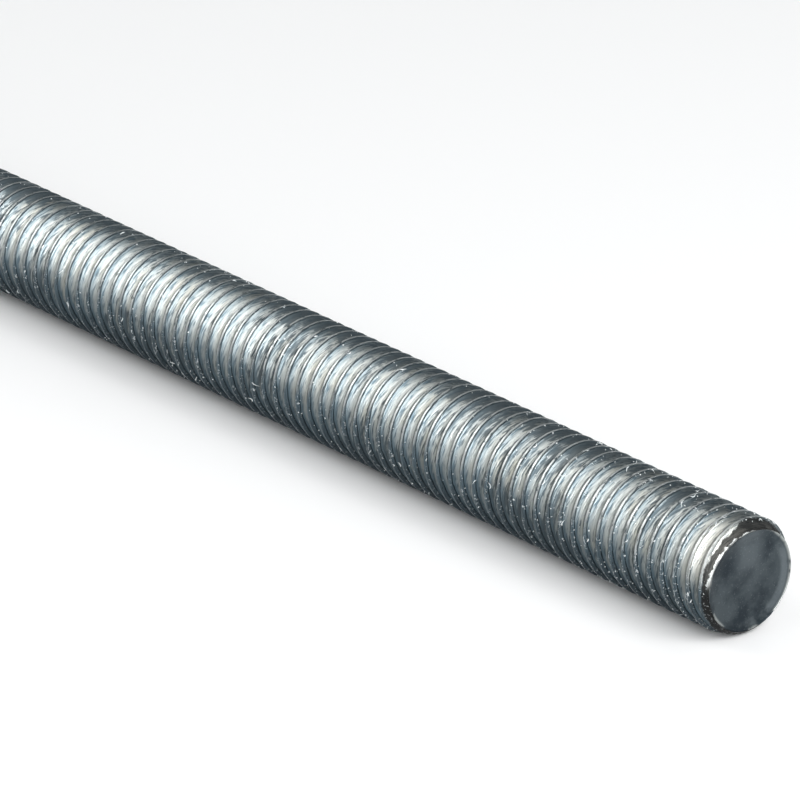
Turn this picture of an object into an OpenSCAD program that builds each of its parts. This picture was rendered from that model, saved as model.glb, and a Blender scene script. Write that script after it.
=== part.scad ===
// A length of threaded rod: a steel bar with a screw thread cut over its whole length.
// Millimetres. The rod lies along X, its middle is the origin and +Z is up.
// The thread is right-handed: a nut turned clockwise on the +X end moves toward -X.

/* [Rod] */
// Length over the two cut ends
length = 304.8; // [20:0.1:400]
// Diameter over the thread's crests
major_diameter = 12.7; // [9.5:0.1:19]
// Diameter of the flat face at each end, inside the chamfer
end_face_diameter = 11.14; // [8:0.02:11.8]
// Angle of the chamfer from the rod's axis
chamfer_angle = 45; // [20:1:60]

/* [Thread] */
// Distance along the rod from one crest to the next
pitch = 1.9538; // [1:0.0001:2.5]
// Depth of the thread as a part of the pitch
depth_per_pitch = 0.6134; // [0.45:0.0001:0.65]
// Turn of the thread about the rod, which moves the place where it runs out at the ends
thread_turn = 72; // [0:1:359]

/* [Fineness] */
// Most triangles that the thread is made of
triangle_limit = 11600; // [4000:100:11600]

/* [Hidden] */
half_length = length / 2;
crest_radius = major_diameter / 2;
root_radius = crest_radius - depth_per_pitch * pitch;
end_radius = end_face_diameter / 2;
turns = length / pitch + 1;

// The crest line has this many corners in a turn, and the root line has half as many.
// A multiple of 4 puts crest corners at the top, the bottom and both sides.
quarter = 4;
least_steps = 8;
most_steps = 48;
triangles_a_step = 3;
steps_allowed = triangle_limit / (triangles_a_step * turns);
steps = max(least_steps, min(most_steps, quarter * floor(steps_allowed / quarter)));
half_turn = steps / 2;

// A corner's place along the thread is counted in steps. One step moves it this far along X.
step_length = pitch / steps;
lead_in = pitch * thread_turn / 360;

// Corners nearer to an end face than this are moved onto the face's edge.
end_gap = pitch / 8;

// Corners between these two places in the thread keep their own position.
first_step = ceil((end_gap - half_length - lead_in) / step_length);
last_step = ceil((half_length - end_gap - lead_in) / step_length) - 1;

// For this many steps past an end, corners lie on the edge of the end face.
edge_steps = half_turn + 1;

// Root corners are at even steps only.
first_root = 2 * ceil(first_step / 2);
last_root = 2 * floor(last_step / 2);
crest_count = last_step - first_step + 1;
root_count = (last_root - first_root) / 2 + 1;

function step_x(s) = lead_in + step_length * s;
function column_angle(c) = 360 * c / steps;
function column_of(s) = (s % steps + steps) % steps;
function chamfer_radius(x) = end_radius + (half_length - abs(x)) * tan(chamfer_angle);
function on_rod(x, radius, angle) = [x, radius * cos(angle), radius * sin(angle)];

// How far a place is from the nearest crest: 0 on a crest and 1 in a root.
function turns_past(x, c) = (x - lead_in) / pitch - c / steps;
function from_crest(x, c) = 2 * abs(turns_past(x, c) - round(turns_past(x, c)));
function thread_radius(x, c) = crest_radius - (crest_radius - root_radius) * from_crest(x, c);

function crest_corner(s) =
    on_rod(step_x(s), min(crest_radius, chamfer_radius(step_x(s))), column_angle(column_of(s)));
function root_corner(s) =
    on_rod(step_x(s), min(root_radius, chamfer_radius(step_x(s))), column_angle(column_of(s + half_turn)));
function edge_corner(x, c) =
    on_rod(x, min(end_radius, thread_radius(x, c)), column_angle(c));

// Corners in order: crest line, root line, edge of each end face, middle of each end face.
crest_corners = [for (s = [first_step : last_step]) crest_corner(s)];
root_corners = [for (s = [first_root : 2 : last_root]) root_corner(s)];
far_edge = [for (c = [0 : steps - 1]) edge_corner(-half_length, c)];
near_edge = [for (c = [0 : steps - 1]) edge_corner(half_length, c)];
far_middle = [-half_length, 0, 0];
near_middle = [half_length, 0, 0];
corners = concat(crest_corners, root_corners, far_edge, near_edge, [far_middle, near_middle]);

far_edge_start = crest_count + root_count;
near_edge_start = far_edge_start + steps;
far_middle_number = near_edge_start + steps;
near_middle_number = far_middle_number + 1;

// Past an end, a corner becomes one on the face's edge, and after half a turn the face's middle.
function end_number(s, c) =
    s < first_step - edge_steps ? far_middle_number :
    s < first_step ? far_edge_start + c :
    s > last_step + edge_steps ? near_middle_number :
    near_edge_start + c;
function is_inside(s) = s >= first_step && s <= last_step;
function crest(s) = is_inside(s) ? s - first_step : end_number(s, column_of(s));
function root(s) =
    is_inside(s) ? crest_count + (s - first_root) / 2 : end_number(s, column_of(s + half_turn));

// Three triangles on each flank for every two steps of the crest line.
function near_flank(s) = [
    [crest(s), root(s + half_turn), crest(s + 1)],
    [crest(s + 1), root(s + half_turn), root(s + half_turn + 2)],
    [crest(s + 1), root(s + half_turn + 2), crest(s + 2)]
];
function far_flank(s) = [
    [crest(s), crest(s + 1), root(s - half_turn)],
    [crest(s + 1), root(s - half_turn + 2), root(s - half_turn)],
    [crest(s + 1), crest(s + 2), root(s - half_turn + 2)]
];
function is_triangle(t) = t[0] != t[1] && t[1] != t[2] && t[2] != t[0];

overrun = 2 * steps;
flank_start = 2 * floor(first_step / 2) - overrun;
flank_end = last_step + overrun;
triangles = [
    for (s = [flank_start : 2 : flank_end])
        for (t = concat(near_flank(s), far_flank(s)))
            if (is_triangle(t)) t
];

// The bar, its thread and its two chamfered ends, made as one piece.
module threaded_rod() {
    color([0.70, 0.72, 0.72]) polyhedron(points = corners, faces = triangles, convexity = 12);
}

threaded_rod();
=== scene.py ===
import math

import bpy
import numpy as np
from bpy.props import FloatProperty, FloatVectorProperty, IntProperty, PointerProperty
from mathutils import Matrix, Vector


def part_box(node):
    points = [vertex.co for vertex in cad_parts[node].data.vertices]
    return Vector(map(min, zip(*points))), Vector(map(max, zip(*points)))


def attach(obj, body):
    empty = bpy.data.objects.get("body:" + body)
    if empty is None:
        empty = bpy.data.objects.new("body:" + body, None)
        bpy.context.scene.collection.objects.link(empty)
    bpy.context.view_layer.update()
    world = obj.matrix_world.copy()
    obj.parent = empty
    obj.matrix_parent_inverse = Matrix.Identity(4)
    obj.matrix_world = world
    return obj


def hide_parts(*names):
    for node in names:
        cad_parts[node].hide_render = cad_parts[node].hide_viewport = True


bl_info = {
    "name": "Threaded rod",
    "version": (1, 0, 0),
    "blender": (4, 5, 0),
    "location": "3D View > Sidebar > Threaded rod",
    "description": "Dresses a length of zinc plated threaded rod and sets up its picture",
    "category": "Object",
}

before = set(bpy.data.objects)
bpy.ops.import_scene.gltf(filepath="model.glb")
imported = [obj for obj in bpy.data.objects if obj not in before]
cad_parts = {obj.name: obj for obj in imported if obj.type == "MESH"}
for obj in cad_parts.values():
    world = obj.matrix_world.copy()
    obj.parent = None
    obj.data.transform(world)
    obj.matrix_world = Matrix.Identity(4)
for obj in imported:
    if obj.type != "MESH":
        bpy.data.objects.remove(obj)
NODE = "threaded_rod"
BODY = "root"
LOW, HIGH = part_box(NODE)
MM = 0.001


# Fades run smoothly from 0 at their first value to 1 at their second.
# Across the thread, in shares of the pitch from the crest
CREST_FADE = (0.11, 0.08)
ROOT_FADE = (0.34, 0.37)
FLANK_FADE = (0.14, 0.34)
BRIGHT_LINE_START = (-0.11, -0.08)
BRIGHT_LINE_END = (0.07, 0.045)
TORN_LINE_START = (0.045, 0.07)
TORN_LINE_END = 0.085
TORN_LINE_WIDER_BELOW = 0.09
TORN_LINE_SOFTNESS = 0.04

# Round the rod, in shares of its radius from the axis
# The lower side of the rod, painted darker as shade
SHADED_UNDERSIDE_FADE = (0.45, -0.40)
# The back of the rod, painted darker as shade
SHADED_BACK_FADE = (-0.42, 0.05)
# The upper side, where the crests carry a painted highlight
LIT_UPPER_SIDE_FADE = (0.05, 0.60)
# The lit side of an end's rim, which carries a painted highlight
LIT_RIM_SIDE_FADE = (0.60, 0.95)

# From an end of the rod
# The last turns at an end, which carry a painted highlight
END_HIGHLIGHT_FADE = (4.6 * MM, 3.4 * MM)
RIM_HIGHLIGHT_FADE = (0.20 * MM, 0.12 * MM)
# The chamfer, painted dark as shade
CHAMFER_MARK_AND_SHADE_FADE = (0.62 * MM, 0.48 * MM)

# In the noise that breaks up the plating
RIM_HIGHLIGHT_CLOUDS_FADE = (0.42, 0.50)
PITS_FADE = (0.63, 0.70)
FLECKS_FADE = (0.605, 0.65)
FLECK_PATCHES_FADE = (0.38, 0.50)
SMUDGE_AND_SHADE_FADE = (1.27, 1.42)
SHADE_FADE = (0.40, 0.66)
FILM_FADE = (0.48, 0.66)
LINES_FADE = (0.50, 0.62)
BREAKS_FADE = (0.31, 0.46)

# On a cut face: in shares of its radius, in distances from its middle, and in its noise
# Place of a crescent of painted sheen
CRESCENT_SHEEN_INNER_FADE = (0.74, 0.84)
CRESCENT_SHEEN_OUTER_FADE = (0.96, 0.90)
CUT_RIM_FADE = (0.93, 0.99)
CRESCENT_SHEEN_SIDE_FADE = (0.0, 3.5 * MM)
RUBBED_SIDE_FADE = (2.4 * MM, 0.8 * MM)
RUBBED_HEIGHT_FADE = (-1.5 * MM, 2.5 * MM)
CUT_LIGHT_FADE = (0.36, 0.64)
CRESCENT_SHEEN_CLOUD_FADE = (0.36, 0.62)
CUT_RIM_CLOUD_FADE = (0.48, 0.56)
SPECKS_FADE = (0.60, 0.72)

# In the noise of a burr
MOTTLE_FADE = (0.35, 0.6)

# The middle of a noise's values. Taken away from noise, it leaves as much below 0 as above.
NOISE_MIDDLE = 0.5

# A Mix node has several sockets of one name, so its colour sockets are known by their numbers.
MIX_SHARE = 0
MIX_FIRST = 6
MIX_SECOND = 7
MIX_RESULT = 2

# Numbers of the rod's two materials
ZINC = 0
CUT = 1

# Corners of the mesh nearer to an end than this lie on the rim of the cut face.
RIM_GAP = 0.06 * MM

# Each is added to the rod's seed, so that every kind of wear has its own random draws.
SWAY_SEED = 1
LEAN_SEED = 2
NICK_SEED = 5
DISH_SEED = 20
BURR_SEED = 40

# A chip is short and nearly straight. A wisp is long, curved and slanting.
# Lengths are shares of the burrs' length, and bend and slant are shares of the pitch.
CHIP = {"lengths": (0.15, 0.6), "bend": 0.01, "slant": 0.02}
WISP = {"lengths": (0.8, 2.2), "bend": 0.06, "slant": 0.10}

SENSOR_WIDTH_MM = 36

# From the rod's middle to each edge of the floor, in metres
FLOOR_REACH = 6.0

# All lamps face this place on the rod's axis, in metres.
LAMP_TARGET = Vector((0.09, 0, 0))

# Each lamp's name, direction from the target, distance and width in metres, and watts
LAMPS = (
    ("high_lamp", (0.70, 0.15, 0.70), 0.9, 0.45, 2.4),
    ("middle_lamp", (0.80, -0.05, 0.60), 0.9, 0.45, 3.0),
    ("front_lamp", (0.80, -0.40, 0.45), 0.9, 0.45, 5.2),
    ("low_lamp", (0.85, -0.50, 0.15), 0.9, 0.45, 1.3),
    ("far_lamp", (-0.71, -0.38, 0.59), 0.9, 0.5, 2.6),
    ("back_lamp", (-0.10, 0.62, 0.78), 1.2, 1.1, 3.4),
    ("left_lamp", (-0.15, -0.93, 0.33), 1.2, 1.0, 2.4),
    ("right_lamp", (-0.15, 0.93, 0.33), 1.2, 1.0, 2.0),
)


# The sizes and colours that a user would change

class RodSizes(bpy.types.PropertyGroup):
    """The rod, its thread and its ends."""

    length: FloatProperty(
        name="Length", description="Over the two cut ends",
        default=HIGH.x - LOW.x, unit="LENGTH", precision=5)
    diameter: FloatProperty(
        name="Diameter", description="Over the thread's crests",
        default=HIGH.z - LOW.z, unit="LENGTH", precision=5)
    pitch: FloatProperty(
        name="Pitch", description="Distance along the rod from one crest to the next",
        default=1.9538 * MM, unit="LENGTH", precision=6)
    depth: FloatProperty(
        name="Depth", description="Depth of the thread from crest to root",
        default=1.1985 * MM, unit="LENGTH", precision=6)
    turn: FloatProperty(
        name="Turn", description="Turn of the thread about the rod",
        default=math.radians(72), unit="ROTATION")
    end_face: FloatProperty(
        name="End face", description="Diameter of the cut face inside the chamfer",
        default=11.14 * MM, unit="LENGTH", precision=5)
    dish: FloatProperty(
        name="Dish", description="How far the middle of a cut face lies below its rim",
        default=0.22 * MM, unit="LENGTH", precision=6)
    wear: FloatProperty(
        name="Wear", description="How uneven the rolled crests are",
        default=0.05 * MM, unit="LENGTH", precision=6)
    steps: IntProperty(
        name="Steps", description="Steps of the mesh in one turn of the thread",
        default=44, min=12, max=48)
    seed: IntProperty(
        name="Seed", description="Changes where dents and burrs fall", default=7)


class BurrSizes(bpy.types.PropertyGroup):
    """The small raised chips that rolling leaves on the crests."""

    count: IntProperty(
        name="Count", description="Burrs on the whole rod", default=5200, min=0)
    wisps: FloatProperty(
        name="Wisps", description="Share of burrs that are long and curved",
        default=0.09, subtype="FACTOR", min=0, max=1)
    length: FloatProperty(
        name="Length", description="Length of a burr along its crest",
        default=0.5 * MM, unit="LENGTH", precision=6)
    height: FloatProperty(
        name="Height", description="How far a burr stands out of the surface",
        default=0.09 * MM, unit="LENGTH", precision=6)
    near_ends: FloatProperty(
        name="Near ends", description="Share of burrs that lie close to an end",
        default=0.35, subtype="FACTOR", min=0, max=1)


class Finish(bpy.types.PropertyGroup):
    """Colours of the plating, the bare cut faces and the burrs, and of the painted shade and highlights
    on them.
    """

    zinc: FloatVectorProperty(
        name="Zinc", description="Clean plating",
        subtype="COLOR", size=3, min=0, max=1, default=(0.67, 0.70, 0.675))
    yellowed: FloatVectorProperty(
        name="Yellowed", description="Plating with a faint yellow film",
        subtype="COLOR", size=3, min=0, max=1, default=(0.68, 0.66, 0.57))
    # Painted highlight on the last few turns at an end
    end_highlight: FloatVectorProperty(
        name="Clean end", description="Plating of the last few turns at an end",
        subtype="COLOR", size=3, min=0, max=1, default=(0.78, 0.77, 0.71))
    # Plating gone grey, and painted shade on the upper flanks and the lower side
    dull_and_shade: FloatVectorProperty(
        name="Dull", description="Plating gone grey and blue",
        subtype="COLOR", size=3, min=0, max=1, default=(0.085, 0.120, 0.142))
    # Smears, and painted shade along the back and the lower side
    smudge_and_shade: FloatVectorProperty(
        name="Smudge", description="Dark smears on the plating",
        subtype="COLOR", size=3, min=0, max=1, default=(0.080, 0.103, 0.116))
    # Grime in the pits, and painted shade in the roots and the torn lines on the lower side
    grime_and_shade: FloatVectorProperty(
        name="Grime", description="Roots, pits and the torn lines beside the crests",
        subtype="COLOR", size=3, min=0, max=1, default=(0.040, 0.052, 0.060))
    # The chamfer, painted near black as shade
    chamfer_mark_and_shade: FloatVectorProperty(
        name="Tool mark", description="Chamfer where the tool has cut it",
        subtype="COLOR", size=3, min=0, max=1, default=(0.020, 0.019, 0.018))
    # Painted highlight on the upper crests and on the rims of the ends
    crest_and_rim_highlight: FloatVectorProperty(
        name="Worn", description="Crests and chipped rims, rubbed bright",
        subtype="COLOR", size=3, min=0, max=1, default=(0.80, 0.83, 0.82))
    fleck: FloatVectorProperty(
        name="Fleck", description="Small pale flecks low on the rod",
        subtype="COLOR", size=3, min=0, max=1, default=(0.66, 0.70, 0.71))
    # Dark steel, painted near black as shade
    cut: FloatVectorProperty(
        name="Cut face", description="Dark steel of the cut faces",
        subtype="COLOR", size=3, min=0, max=1, default=(0.024, 0.033, 0.041))
    cut_light: FloatVectorProperty(
        name="Light cut face", description="Lighter clouds on the cut faces",
        subtype="COLOR", size=3, min=0, max=1, default=(0.064, 0.079, 0.088))
    # Rubbed patch and specks, and the painted sheen of the crescent
    cut_rubbed_and_sheen: FloatVectorProperty(
        name="Rubbed cut face", description="Patch, crescent and specks on the cut faces",
        subtype="COLOR", size=3, min=0, max=1, default=(0.16, 0.185, 0.20))
    burr_pale: FloatVectorProperty(
        name="Pale burr", description="Freshly torn zinc",
        subtype="COLOR", size=3, min=0, max=1, default=(0.84, 0.87, 0.87))
    burr_grey: FloatVectorProperty(
        name="Grey burr", description="Torn zinc gone grey",
        subtype="COLOR", size=3, min=0, max=1, default=(0.55, 0.60, 0.61))


class StageSettings(bpy.types.PropertyGroup):
    """Camera, floor and room."""

    azimuth: FloatProperty(
        name="Azimuth", description="Where the camera stands round the rod",
        default=math.radians(50.56), unit="ROTATION")
    elevation: FloatProperty(
        name="Elevation", description="How far the camera looks down",
        default=math.radians(22.49), unit="ROTATION")
    distance: FloatProperty(
        name="Distance", description="From the camera to the near end, along its view",
        default=670.9 * MM, unit="LENGTH")
    lens: FloatProperty(
        name="Lens", description="Focal length in millimetres",
        default=300.88, unit="CAMERA")
    end_right: FloatProperty(
        name="End right", description="The near end's place right of the picture's middle",
        default=35.12 * MM, unit="LENGTH", precision=5)
    end_below: FloatProperty(
        name="End below", description="The near end's place below the picture's middle",
        default=18.01 * MM, unit="LENGTH", precision=5)
    floor: FloatVectorProperty(
        name="Floor", description="Colour of the floor",
        subtype="COLOR", size=3, min=0, max=1, default=(0.92, 0.92, 0.92))
    room: FloatVectorProperty(
        name="Room", description="Colour of the light that fills the room",
        subtype="COLOR", size=3, min=0, max=1, default=(0.75, 0.92, 1.0))
    room_strength: FloatProperty(
        name="Room strength", description="Strength of the light that fills the room",
        default=0.06, min=0)


# Shader maths

class Wire:
    """A value in a node tree. Arithmetic on it adds Math nodes."""

    def __init__(self, graph, socket):
        self.graph = graph
        self.socket = socket

    def math(self, operation, *values):
        return self.graph.node("ShaderNodeMath", {"operation": operation}, values)

    def __add__(self, other):
        return self.math("ADD", self, other)

    def __radd__(self, other):
        return self.math("ADD", other, self)

    def __sub__(self, other):
        return self.math("SUBTRACT", self, other)

    def __rsub__(self, other):
        return self.math("SUBTRACT", other, self)

    def __mul__(self, other):
        return self.math("MULTIPLY", self, other)

    def __rmul__(self, other):
        return self.math("MULTIPLY", other, self)

    def __truediv__(self, other):
        return self.math("DIVIDE", self, other)

    def __pow__(self, other):
        return self.math("POWER", self, other)

    def absolute(self):
        return self.math("ABSOLUTE", self)

    def floor(self):
        return self.math("FLOOR", self)

    def fade(self, start, full):
        """0 at start and 1 at full, with a smooth rise between them. Full may be the lower one."""
        share = ((self - start) / (full - start)).clamped()
        return share * share * (3 - 2 * share)

    def clamped(self):
        return self.graph.node("ShaderNodeClamp", {}, {"Value": self, "Min": 0.0, "Max": 1.0})


class Graph:
    """A material's or the world's node tree."""

    def __init__(self, tree):
        self.tree = tree
        self.tree.nodes.clear()

    def node(self, kind, settings=None, sockets=(), output=0):
        """Adds a node: its settings first, then the values or links of its sockets."""
        made = self.tree.nodes.new(kind)
        for name, value in (settings or {}).items():
            setattr(made, name, value)
        pairs = sockets.items() if isinstance(sockets, dict) else enumerate(sockets)
        for key, value in pairs:
            if isinstance(value, Wire):
                self.tree.links.new(value.socket, made.inputs[key])
            else:
                made.inputs[key].default_value = value
        return Wire(self, made.outputs[output]) if len(made.outputs) else None

    def blend(self, share, first, second):
        """The first colour where share is 0, the second where it is 1."""
        sockets = {MIX_SHARE: share, MIX_FIRST: colour(first), MIX_SECOND: colour(second)}
        return self.node("ShaderNodeMix", {"data_type": "RGBA"}, sockets, output=MIX_RESULT)

    def layers(self, base, *coats):
        """A colour with coats laid over it in order. A coat is its share of 0 to 1 and its colour."""
        for share, coat in coats:
            base = self.blend(share, base, coat)
        return base

    def noise(self, place, scale, detail=3.0, roughness=0.5):
        """Noise of about 0.3 to 0.7. Its scale counts the features in one unit of the place."""
        return self.node(
            "ShaderNodeTexNoise", {"noise_dimensions": "3D"},
            {"Vector": place, "Scale": scale, "Detail": detail, "Roughness": roughness})

    def place(self, x, y, z):
        """A vector of three values."""
        return self.node("ShaderNodeCombineXYZ", {}, (x, y, z))

    def split(self, vector):
        """The x, y and z of a vector."""
        first = self.node("ShaderNodeSeparateXYZ", {}, (vector,))
        return [Wire(self, socket) for socket in first.socket.node.outputs]

    def object_place(self):
        """The place of a point of the surface in its object."""
        return self.node("ShaderNodeTexCoord", output="Object")

    def bump(self, height, strength, reach):
        """A surface direction, tilted as a height that reaches so many metres would tilt it."""
        sockets = {"Strength": strength, "Distance": reach, "Height": height}
        return self.node("ShaderNodeBump", {}, sockets)


def colour(value):
    """A colour for a node: a link stays as it is, and three numbers get an alpha of 1."""
    return value if isinstance(value, Wire) else (*value, 1.0)


def lead_in(rod):
    """How far along the rod from its middle the crest crosses the rod's +Y side."""
    return rod.pitch * rod.turn / math.tau


class ThreadPlace:
    """Where a point of the surface lies on the rod and in its thread, worked out from its position."""

    def __init__(self, graph, rod):
        self.graph = graph
        self.rod = rod
        self.object = graph.object_place()
        self.x, self.side, self.height = graph.split(self.object)
        self.radius = ((self.side * self.side) + (self.height * self.height)) ** 0.5
        turned = graph.node("ShaderNodeMath", {"operation": "ARCTAN2"}, (self.height, self.side))
        angle = turned / math.tau
        along = (self.x - lead_in(rod)) / rod.pitch - angle
        number = (along + 0.5).floor()
        # 0 on a crest, and -0.5 or 0.5 in the root on either side of it
        self.across = along - number
        # turns of the thread from the rod's middle to this point, along the crest
        self.run = number + angle

    def in_radii(self, length):
        """A length as a share of the rod's radius."""
        return length / self.rod.diameter * 2

    def streaks(self, along_mm, across_mm, detail=3.0):
        """Noise drawn out along the thread, with the given lengths along and across it."""
        turn_length = math.pi * self.rod.diameter
        vector = self.graph.place(
            self.run * (turn_length / (along_mm * MM)),
            (self.run + self.across) * (self.rod.pitch / (across_mm * MM)),
            0.0)
        return self.graph.noise(vector, 1.0, detail)


# Materials

def new_material(name):
    """An empty material and its node tree."""
    material = bpy.data.materials.new(name)
    material.use_nodes = True
    return material, Graph(material.node_tree)


def finish_material(graph, sockets):
    """Closes a material with one shader."""
    shader = graph.node("ShaderNodeBsdfPrincipled", {}, sockets)
    graph.node("ShaderNodeOutputMaterial", {}, {"Surface": shader})


class ZincGrain:
    """The noise that breaks up the plating, from streaks along the thread to fine grit."""

    def __init__(self, graph, thread):
        self.long_streaks = thread.streaks(along_mm=9.0, across_mm=0.5)
        self.fine_streaks = thread.streaks(along_mm=1.6, across_mm=0.09, detail=4.0)
        self.breaks = thread.streaks(along_mm=0.8, across_mm=0.35)
        self.patches = graph.noise(thread.object, scale=105.0, detail=5.0, roughness=0.66)
        self.film = graph.noise(thread.object, scale=190.0, detail=2.0)
        self.clouds = graph.noise(thread.object, scale=260.0, detail=3.0, roughness=0.6)
        self.chips = graph.noise(thread.object, scale=1300.0, detail=3.0, roughness=0.6)
        self.pits = graph.noise(thread.object, scale=2300.0, detail=2.0)
        self.flecks = graph.noise(thread.object, scale=3800.0, detail=2.0)
        self.grit = graph.noise(thread.object, scale=5200.0, detail=2.0)


class ThreadZones:
    """Shares of 0 to 1 for the parts of the thread and for the sides and ends of the rod."""

    def __init__(self, thread, grain):
        across = thread.across
        from_crest = across.absolute()
        self.crest = from_crest.fade(*CREST_FADE)
        self.root = from_crest.fade(*ROOT_FADE)
        self.flank = from_crest.fade(*FLANK_FADE) ** 1.5
        self.bright_line = across.fade(*BRIGHT_LINE_START) * across.fade(*BRIGHT_LINE_END)

        height = thread.in_radii(thread.height)
        side = thread.in_radii(thread.side)
        ragged = grain.clouds - NOISE_MIDDLE
        # Painted shade: the lower side of the rod is painted darker, and its torn lines widen there.
        self.shaded_underside = (height + ragged * 0.8).fade(*SHADED_UNDERSIDE_FADE)
        # Painted shade: the back of the rod is painted darker, with more smears, a wider dark chamfer
        # and less bright crests.
        self.back = (side + ragged * 0.5).fade(*SHADED_BACK_FADE)
        # Painted highlight: the crests' bright line is kept to the upper side of the rod, where the
        # light falls.
        self.lit_upper_side = (height + ragged * 0.6).fade(*LIT_UPPER_SIDE_FADE)

        # A torn line runs beside each crest, thin above and wide on the lower side, where it is painted
        # dark as shade.
        torn_end = self.shaded_underside * TORN_LINE_WIDER_BELOW + TORN_LINE_END
        torn_line = across.fade(*TORN_LINE_START)
        self.torn_line = torn_line * across.fade(torn_end + TORN_LINE_SOFTNESS, torn_end)

        # Painted highlight on the last few turns at an end, away from the back and the lower side, and
        # on a patchy rim on the lit side. The chamfer is painted dark as shade, widest at the back.
        from_end = thread.rod.length / 2 - thread.x.absolute()
        end_highlight = from_end.fade(*END_HIGHLIGHT_FADE)
        self.end_highlight = end_highlight * (1 - self.shaded_underside * 0.9) * (1 - self.back * 0.8)
        ragged_end = from_end + (grain.chips - NOISE_MIDDLE) * 0.5 * MM
        lit_rim_side = thread.in_radii(thread.height - thread.side * 0.75).fade(*LIT_RIM_SIDE_FADE)
        chipped = ragged_end.fade(*RIM_HIGHLIGHT_FADE) * grain.clouds.fade(*RIM_HIGHLIGHT_CLOUDS_FADE)
        self.rim_highlight = chipped * lit_rim_side
        chamfer_mark_and_shade = (ragged_end - self.back * 0.4 * MM).fade(*CHAMFER_MARK_AND_SHADE_FADE)
        self.chamfer_mark_and_shade = chamfer_mark_and_shade * (1 - self.rim_highlight)


class ZincMarks:
    """Shares of 0 to 1 for the marks that rolling has left on the plating, and for its painted shade
    and highlights.
    """

    def __init__(self, grain, zones):
        self.pits = grain.pits.fade(*PITS_FADE) * (0.15 + zones.torn_line)

        # Flecks cling to the torn lines, the crests and the chamfer, in a band where the painted shade
        # of the lower side begins.
        flecks = grain.flecks.fade(*FLECKS_FADE) * grain.patches.fade(*FLECK_PATCHES_FADE)
        clinging = (zones.torn_line + zones.crest + zones.chamfer_mark_and_shade).clamped()
        flecks = flecks * clinging * zones.shaded_underside * (1.1 - zones.shaded_underside) * 3
        self.flecks = flecks.clamped()

        # Smears, thickened at the back and on the lower side as painted shade
        smudge_and_shade = grain.patches * 1.1 + grain.long_streaks * 0.6 + grain.fine_streaks * 0.8
        smudge_and_shade = smudge_and_shade + zones.back * 0.15 + zones.shaded_underside * 0.06
        self.smudge_and_shade = smudge_and_shade.fade(*SMUDGE_AND_SHADE_FADE) * (1 - zones.end_highlight * 0.8)

        # Painted highlight: a bright, broken line along the upper crests, fainter at the back, with the
        # rim highlight of the ends.
        crest_and_rim_highlight = zones.bright_line * grain.breaks.fade(*BREAKS_FADE) * zones.lit_upper_side
        crest_and_rim_highlight = crest_and_rim_highlight * (1 - zones.back * 0.5)
        self.crest_and_rim_highlight = (crest_and_rim_highlight * (1 - zones.chamfer_mark_and_shade) + zones.rim_highlight).clamped()

        # Painted shade: the plating is darkened on the upper flank beside each crest, less so near the
        # ends, and over the lower side. Fine streaks and patchy tone add real dullness.
        shade = (grain.clouds * 0.5 + grain.long_streaks * 0.5).fade(*SHADE_FADE)
        flank_shade = (1 - zones.flank) * (0.78 - zones.end_highlight * 0.40)
        lines = grain.fine_streaks.fade(*LINES_FADE) * 0.3
        self.dull_and_shade = (lines + shade * 0.12 + flank_shade + zones.shaded_underside * 0.5).clamped()

        # Painted shade in the roots, along the torn lines low on the rod and over the lower side, with
        # real grime in the pits.
        torn_line_shade_below = zones.torn_line * zones.shaded_underside
        grime_and_shade = zones.root * 0.5 + torn_line_shade_below * 0.6 + zones.shaded_underside * 0.15 + self.pits * 0.8
        self.grime_and_shade = grime_and_shade.clamped()


def zinc_material(rod, finish):
    """Satin zinc over a rolled thread, torn along the crests, with painted shade on the upper flanks,
    the back and the lower side, and painted highlights on the upper crests and the ends.
    """
    material, graph = new_material("zinc_plating")
    thread = ThreadPlace(graph, rod)
    grain = ZincGrain(graph, thread)
    zones = ThreadZones(thread, grain)
    marks = ZincMarks(grain, zones)
    # The coats include painted highlights on the ends and crests, and painted shade in the dull,
    # smudge, grime and chamfer coats.
    base = graph.layers(
        finish.zinc,
        (grain.film.fade(*FILM_FADE) * 0.6, finish.yellowed),
        (zones.end_highlight * 0.8, finish.end_highlight),
        (marks.dull_and_shade, finish.dull_and_shade),
        (marks.smudge_and_shade * 0.85, finish.smudge_and_shade),
        (marks.grime_and_shade, finish.grime_and_shade),
        (zones.chamfer_mark_and_shade * 0.9, finish.chamfer_mark_and_shade),
        (marks.crest_and_rim_highlight, finish.crest_and_rim_highlight),
        (marks.flecks * 0.8, finish.fleck))
    uneven = (grain.fine_streaks - NOISE_MIDDLE) * 0.15
    roughness = 0.38 + marks.smudge_and_shade * 0.1 + uneven + zones.chamfer_mark_and_shade * 0.2 - marks.crest_and_rim_highlight * 0.08
    gritty = 0.15 + zones.torn_line * 2.0 + zones.crest * 0.3 + zones.chamfer_mark_and_shade * 1.5
    broken = zones.torn_line * 2.0 + zones.crest * 0.4
    height = (
        grain.fine_streaks * 0.6
        + grain.long_streaks * 0.3
        + grain.grit * gritty
        + grain.breaks * broken
        - marks.pits * 0.8
    )
    finish_material(graph, {
        "Base Color": base,
        "Metallic": 1 - marks.crest_and_rim_highlight * 0.4,
        "Roughness": roughness,
        "Normal": graph.bump(height, strength=0.75, reach=0.045 * MM)})
    return material


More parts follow.
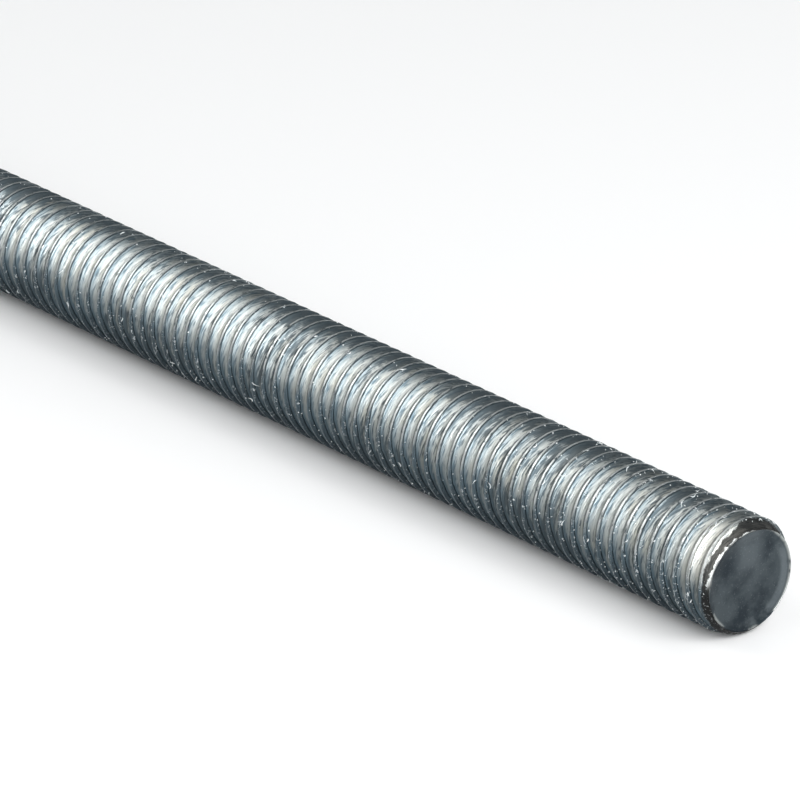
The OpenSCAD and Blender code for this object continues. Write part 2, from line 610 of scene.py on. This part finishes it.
def cut_face_material(rod, finish):
    """Dull dark steel of a sheared and rubbed end, painted near black as shade, with fine specks, a few
    scratches and a crescent of painted sheen.
    """
    material, graph = new_material("cut_face")
    thread = ThreadPlace(graph, rod)
    side, height = thread.side, thread.height
    cloud = graph.noise(thread.object, scale=300.0, detail=4.0, roughness=0.55)
    specks = graph.noise(thread.object, scale=5200.0, detail=2.0).fade(*SPECKS_FADE)
    drawn_out = graph.place(side * 900.0 + height * 700.0, height * 60.0 - side * 60.0, 0.0)
    scratches = graph.noise(drawn_out, scale=1.0, detail=3.0)
    light = cloud.fade(*CUT_LIGHT_FADE)

    # Painted light: a pale crescent inside the rim, low on the +Y side, stands for the dish's sheen. A
    # rubbed patch lies above the middle.
    outward = thread.radius / (rod.end_face / 2)
    crescent = outward.fade(*CRESCENT_SHEEN_INNER_FADE) * outward.fade(*CRESCENT_SHEEN_OUTER_FADE)
    crescent = crescent * (side - height).fade(*CRESCENT_SHEEN_SIDE_FADE)
    rubbed = (side.absolute() + (cloud - NOISE_MIDDLE) * 3 * MM).fade(*RUBBED_SIDE_FADE)
    rubbed = rubbed * height.fade(*RUBBED_HEIGHT_FADE)
    pale = crescent * cloud.fade(*CRESCENT_SHEEN_CLOUD_FADE) * 0.6 + rubbed * 0.3 + specks * 0.3
    rim = outward.fade(*CUT_RIM_FADE) * cloud.fade(*CUT_RIM_CLOUD_FADE)
    base = graph.layers(
        finish.cut,
        (light, finish.cut_light),
        (pale.clamped(), finish.cut_rubbed_and_sheen),
        (rim * 0.5, finish.zinc))
    relief = cloud * 0.6 + scratches * 0.6 + specks * 0.25
    finish_material(graph, {
        "Base Color": base,
        "Metallic": 0.9,
        "Roughness": 0.44 - light * 0.08 + specks * 0.1,
        "Normal": graph.bump(relief, strength=0.6, reach=0.06 * MM)})
    return material


def burr_material(finish):
    """Torn zinc of a chip, pale and rough."""
    material, graph = new_material("burr_zinc")
    mottle = graph.noise(graph.object_place(), scale=3000.0, detail=2.0)
    finish_material(graph, {
        "Base Color": graph.blend(mottle.fade(*MOTTLE_FADE), finish.burr_pale, finish.burr_grey),
        "Metallic": 0.3,
        "Roughness": mottle * 0.3 + 0.25})
    return material


def floor_material(settings):
    """Plain pale paper, without gloss."""
    material, graph = new_material("pale_floor")
    finish_material(graph, {
        "Base Color": colour(settings.floor),
        "Roughness": 0.9,
        "Specular IOR Level": 0.1})
    return material


# Mesh of the rod

def thread_profile():
    """One turn of the thread in section: places across it, as shares of the pitch from the crest."""
    crest = [-0.11, -0.075, -0.03, 0.03, 0.075, 0.11]
    near_flank = [0.20, 0.31, 0.38]
    root = [0.46, 0.54, 0.62]
    far_flank = [0.77]
    return np.array(crest + near_flank + root + far_flank)


def profile_depth(across, rod):
    """How far below the crest the surface lies, for a 60 degree thread with a rounded root."""
    slope = math.sqrt(3)
    flat_half = 0.08
    crown_share = 0.10
    softness = 0.06 * MM
    away = np.abs(across - np.round(across))
    flank = (away - flat_half) * rod.pitch * slope
    crown = crown_share * flat_half * rod.pitch * slope * (away / flat_half) ** 2
    deep = np.maximum(flank, crown)
    return rod.depth - softness * np.log1p(np.exp((rod.depth - deep) / softness))


def waves(phase, seed, count, slowest, quickest):
    """A smooth wandering value of about -1 to 1, the same at each run: sines of random pace."""
    chance = np.random.default_rng(seed)
    paces = np.geomspace(slowest, quickest, count) * chance.uniform(0.85, 1.15, count)
    starts = chance.uniform(0, math.tau, count)
    shares = 1 / np.sqrt(np.arange(1, count + 1))
    total = sum(s * np.sin(phase * p + a) for s, p, a in zip(shares, paces, starts))
    return total / shares.sum()


def worn_strip(rod, rows, across):
    """Each corner's place along the rod and its radius, for a strip of turns with uneven crests."""
    half = rod.length / 2
    run = rows[:, None] / rod.steps
    crest_reach = 0.1
    is_crest = np.clip(1 - np.abs(across) / crest_reach, 0, 1)
    is_flank = np.sin(np.clip(np.abs(across), 0, 0.5) * math.tau)

    # Crests wander a little in height and place, as rolling leaves them.
    phase = run * math.tau
    lift = waves(phase, rod.seed, count=9, slowest=0.6, quickest=19.0)
    sway = waves(phase, rod.seed + SWAY_SEED, count=7, slowest=0.4, quickest=9.0)
    sway_share = 0.015
    depth = profile_depth(across, rod) + is_crest * rod.wear * (0.55 - 0.45 * lift)
    x = lead_in(rod) + rod.pitch * (run + across)
    x = x + rod.pitch * sway_share * sway * (0.3 + is_crest)

    # Flanks lean slightly more or less from turn to turn.
    lean = waves(phase, rod.seed + LEAN_SEED, count=8, slowest=0.045, quickest=0.9)
    lean_mm = 0.022
    depth = depth + is_flank * lean_mm * MM * lean

    chamfer = rod.end_face / 2 + np.maximum(0.0, half - np.abs(x))
    return x, np.minimum(rod.diameter / 2 - np.maximum(depth, 0.0), chamfer)


def rod_mesh(rod):
    """The rod as one closed mesh: a helical strip of turns, held between two dished faces."""
    steps, half = rod.steps, rod.length / 2
    overrun = 2 * steps
    first = math.floor((-half - lead_in(rod)) / rod.pitch * steps) - overrun
    last = math.ceil((half - lead_in(rod)) / rod.pitch * steps) + overrun
    rows = np.arange(first, last + steps + 1)
    x, radius = worn_strip(rod, rows, thread_profile())
    column = (rows % steps)[:, None]
    angle = column * math.tau / steps

    # Corners past an end take the number of the rim's corner in their column.
    inside = np.abs(x) < half - RIM_GAP
    kept = int(inside.sum())
    number = np.where(x > 0, kept, kept + steps) + column
    number[inside] = np.arange(kept)

    corners = np.stack([x, radius * np.cos(angle), radius * np.sin(angle)], -1)[inside]
    around = np.arange(steps) * math.tau / steps
    corners = np.concatenate([corners, end_rim(rod, around, 1), end_rim(rod, around, -1)])
    faces = strip_faces(number, steps)
    marks = [ZINC] * len(faces)
    for side, start in ((1, kept), (-1, kept + steps)):
        corners, cap = end_cap(rod, corners, start, side)
        faces += cap
        marks += [CUT] * len(cap)
    return corners, faces, marks


def end_rim(rod, around, side):
    """The edge of a cut face. The groove runs out through it where a root meets the end."""
    end = side * rod.length / 2
    across = (end - lead_in(rod)) / rod.pitch - around / math.tau
    groove = rod.diameter / 2 - profile_depth(across - np.round(across), rod)
    nick_depth = 0.04 * MM
    nicks = nick_depth * waves(around, rod.seed + NICK_SEED + side, count=6, slowest=2, quickest=17)
    radius = np.minimum(rod.end_face / 2 + nicks, groove)
    x = np.full(len(around), end)
    return np.stack([x, radius * np.cos(around), radius * np.sin(around)], -1)


def strip_faces(number, steps):
    """Faces between neighbouring rows of the helical strip, without those that the ends swallow."""
    faces = []
    rows, points = number.shape
    for row in range(rows - steps - 1):
        for point in range(points):
            turn, after = (row, point + 1) if point + 1 < points else (row + steps, 0)
            here = (number[row, point], number[turn, after])
            next_row = (number[turn + 1, after], number[row + 1, point])
            ring = here + next_row
            face = [int(n) for k, n in enumerate(ring) if n != ring[k - 1]]
            if len(set(face)) == len(face) > 2:
                faces.append(face)
    return faces


def end_cap(rod, corners, start, side):
    """Rings from a face's rim to its middle. The face is dished inside a narrow raised rim."""
    steps = rod.steps
    rim = corners[start:start + steps]
    ring_shares = [0.97, 0.91, 0.85, 0.68, 0.45, 0.22]
    ring_depths = [0.03, 0.35, 0.85, 1.0, 1.0, 1.0]
    unevenness = 0.008 * MM
    chance = np.random.default_rng(rod.seed + DISH_SEED + side)
    ring_start, faces, added = start, [], []
    count = len(corners)
    for share, depth in zip(ring_shares, ring_depths):
        ring = rim * [1, share, share]
        uneven = chance.normal(0, unevenness, steps) if depth == 1 else 0
        ring[:, 0] -= side * np.maximum(rod.dish * depth + uneven, 0)
        added.append(ring)
        for k in range(steps):
            after = (k + 1) % steps
            faces.append([ring_start + k, ring_start + after, count + after, count + k])
        ring_start, count = count, count + steps
    middle = np.array([[side * (rod.length / 2 - rod.dish), 0, 0]])
    for k in range(steps):
        faces.append([ring_start + k, ring_start + (k + 1) % steps, count])
    if side < 0:
        faces = [face[::-1] for face in faces]
    return np.concatenate([corners, *added, middle]), faces


def new_piece(name, corners, faces, materials, marks=None, smooth=True):
    """Makes an object at the origin from corners and faces, with its place in its mesh."""
    mesh = bpy.data.meshes.new(name)
    mesh.from_pydata(corners.tolist(), [], faces)
    for material in materials:
        mesh.materials.append(material)
    if marks is not None:
        mesh.polygons.foreach_set("material_index", marks)
    mesh.polygons.foreach_set("use_smooth", [smooth] * len(mesh.polygons))
    mesh.update()
    piece = bpy.data.objects.new(name, mesh)
    bpy.context.scene.collection.objects.link(piece)
    return piece


# Mesh of the burrs

def surface_radius(across, rod):
    """The thread's surface at a place across it, a little below its unworn height."""
    return rod.diameter / 2 - profile_depth(across, rod) - rod.wear * 0.5


def burr_lines(chance, rod, burrs):
    """Three lines of corners along one burr: its ridge between two edges sunk in the surface."""
    end_gap = 1.2 * MM
    end_spread = 16 * MM
    segment = 0.11 * MM
    sunk = -0.06 * MM
    widths_mm = (0.04, 0.075)
    heights = (0.5, 1.0)
    usual_across, across_spread = 0.07, 0.09
    least_across, most_across = -0.12, 0.36
    highest = rod.diameter / 2 - 0.004 * MM
    turns = (rod.length / 2 - end_gap) / rod.pitch

    kind = WISP if chance.uniform() < burrs.wisps else CHIP
    length = burrs.length * chance.uniform(*kind["lengths"])
    width = chance.uniform(*widths_mm) * MM
    height = burrs.height * chance.uniform(*heights)
    cuts = max(2, round(length / segment))
    share = np.linspace(0, 1, cuts + 1)
    swell = np.sin(math.pi * (share * 0.92 + 0.04))

    # Most burrs lie beside the crest, on the flank that faces +X, and wander a little across it.
    bend = chance.normal(0, kind["bend"])
    slant = chance.normal(0, kind["slant"])
    across = chance.normal(usual_across, across_spread)
    across = across + bend * (swell - 0.5) + slant * (share - 0.5)
    across = np.clip(across, least_across, most_across)
    middle = chance.uniform(-turns, turns)
    if chance.uniform() < burrs.near_ends:
        middle = math.copysign(turns - abs(chance.normal(0, end_spread / rod.pitch)), middle)
    run = middle + (share - 0.5) * length / (math.tau * (rod.diameter / 2))

    angle = run * math.tau
    surface = surface_radius(across, rod)
    lines = []
    for side, lift in ((-1, sunk), (0, height * swell), (1, sunk)):
        radius = np.minimum(surface + lift, highest)
        x = lead_in(rod) + rod.pitch * (run + across) + side * width * swell
        lines.append(np.stack([x, radius * np.cos(angle), radius * np.sin(angle)], -1))
    return lines


def burr_faces(start, line):
    """Faces of one burr, between three lines of so many corners each, closed at both tips."""
    faces = []
    for k in range(start, start + line - 1):
        for low, high in ((k, k + line), (k + line, k + 2 * line)):
            faces.append([low, low + 1, high + 1, high])
    last = start + line - 1
    faces.append([start, start + line, start + 2 * line])
    faces.append([last + 2 * line, last + line, last])
    return faces


def burr_mesh(rod, burrs):
    """Small raised chips and wisps on the crests and upper flanks, within the rod's outside."""
    chance = np.random.default_rng(rod.seed + BURR_SEED)
    lines, faces, start = [], [], 0
    for _ in range(burrs.count):
        burr = burr_lines(chance, rod, burrs)
        line = len(burr[0])
        faces += burr_faces(start, line)
        lines += burr
        start += 3 * line
    return np.concatenate(lines), faces


# Stage

def camera_axes(azimuth, elevation):
    """The camera's right, up and back directions."""
    right = Vector((math.cos(azimuth), math.sin(azimuth), 0))
    back = Vector((
        math.sin(azimuth) * math.cos(elevation),
        -math.cos(azimuth) * math.cos(elevation),
        math.sin(elevation)))
    return right, back.cross(right), back


def add_camera(scene, settings, rod):
    """A long lens that looks down on the near end."""
    right, up, back = camera_axes(settings.azimuth, settings.elevation)
    near_end = Vector((rod.length / 2, 0, 0))
    place = near_end - right * settings.end_right + up * settings.end_below + back * settings.distance
    data = bpy.data.cameras.new("camera")
    data.lens = settings.lens
    data.sensor_width = SENSOR_WIDTH_MM
    camera = bpy.data.objects.new("camera", data)
    turn = Matrix((right, up, back)).transposed().to_4x4()
    camera.matrix_world = Matrix.Translation(place) @ turn
    scene.collection.objects.link(camera)
    scene.camera = camera


def add_floor(settings, rod):
    """A wide flat floor that the rod lies on."""
    height = -rod.diameter / 2
    signs = ((-1, -1), (1, -1), (1, 1), (-1, 1))
    corners = np.array([(x * FLOOR_REACH, y * FLOOR_REACH, height) for x, y in signs])
    sheet = new_piece("floor", corners, [[0, 1, 2, 3]], [floor_material(settings)], smooth=False)


def add_world(scene, settings):
    """A dim room of one colour."""
    world = bpy.data.worlds.new("room")
    world.use_nodes = True
    graph = Graph(world.node_tree)
    sockets = {"Color": colour(settings.room), "Strength": settings.room_strength}
    light = graph.node("ShaderNodeBackground", {}, sockets)
    graph.node("ShaderNodeOutputWorld", {}, {"Surface": light})
    scene.world = world


def add_lamp(name, direction, distance, width, watts):
    """A soft square lamp that faces the target."""
    data = bpy.data.lights.new(name, "AREA")
    data.size = width
    data.energy = watts
    lamp = bpy.data.objects.new(name, data)
    away = Vector(direction).normalized()
    lamp.location = LAMP_TARGET + away * distance
    lamp.rotation_mode = "QUATERNION"
    lamp.rotation_quaternion = (-away).to_track_quat("-Z", "Y")
    bpy.context.scene.collection.objects.link(lamp)


def add_lamps():
    """Four lamps over the near end, one past the far end, one behind and one at each side."""
    for lamp in LAMPS:
        add_lamp(*lamp)


# Operators

class MakeRod(bpy.types.Operator):
    """Builds the rod with its thread and its cut ends"""

    bl_idname = "rod.make_rod"
    bl_label = "Make the rod"

    def execute(self, context):
        rod, finish = context.scene.rod_sizes, context.scene.rod_finish
        corners, faces, marks = rod_mesh(rod)
        materials = [zinc_material(rod, finish), cut_face_material(rod, finish)]
        piece = new_piece("rod_with_thread", corners, faces, materials, marks)
        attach(piece, BODY)
        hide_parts(NODE)
        return {"FINISHED"}


class MakeBurrs(bpy.types.Operator):
    """Scatters small bright chips along the crests"""

    bl_idname = "rod.make_burrs"
    bl_label = "Make the burrs"

    def execute(self, context):
        rod, burrs = context.scene.rod_sizes, context.scene.rod_burrs
        corners, faces = burr_mesh(rod, burrs)
        piece = new_piece("crest_burrs", corners, faces, [burr_material(context.scene.rod_finish)])
        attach(piece, BODY)
        return {"FINISHED"}


class MakeStage(bpy.types.Operator):
    """Sets the camera, the lamps, the world and the floor"""

    bl_idname = "rod.make_stage"
    bl_label = "Make the stage"

    def execute(self, context):
        settings, rod = context.scene.rod_stage, context.scene.rod_sizes
        add_camera(context.scene, settings, rod)
        add_floor(settings, rod)
        add_world(context.scene, settings)
        add_lamps()
        context.scene.view_settings.view_transform = "Standard"
        return {"FINISHED"}


class RodPanel(bpy.types.Panel):
    """Shows the rod's settings and its steps in the sidebar"""

    bl_idname = "VIEW3D_PT_threaded_rod"
    bl_label = "Threaded rod"
    bl_space_type = "VIEW_3D"
    bl_region_type = "UI"
    bl_category = "Threaded rod"

    def draw(self, context):
        column = self.layout.column()
        for group, values in GROUPS.items():
            for name in group.__annotations__:
                column.prop(getattr(context.scene, values), name)
        for operator in STEPS:
            column.operator(operator.bl_idname)


GROUPS = {
    RodSizes: "rod_sizes",
    BurrSizes: "rod_burrs",
    Finish: "rod_finish",
    StageSettings: "rod_stage",
}
STEPS = (MakeRod, MakeBurrs, MakeStage)


def register():
    for made in (*GROUPS, *STEPS, RodPanel):
        bpy.utils.register_class(made)
    for group, name in GROUPS.items():
        setattr(bpy.types.Scene, name, PointerProperty(type=group))


def unregister():
    for name in GROUPS.values():
        delattr(bpy.types.Scene, name)
    for made in (RodPanel, *reversed(STEPS), *reversed(list(GROUPS))):
        bpy.utils.unregister_class(made)


def main():
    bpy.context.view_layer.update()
    register()
    bpy.ops.rod.make_rod()
    bpy.ops.rod.make_burrs()
    bpy.ops.rod.make_stage()


if __name__ == "__main__":
    main()
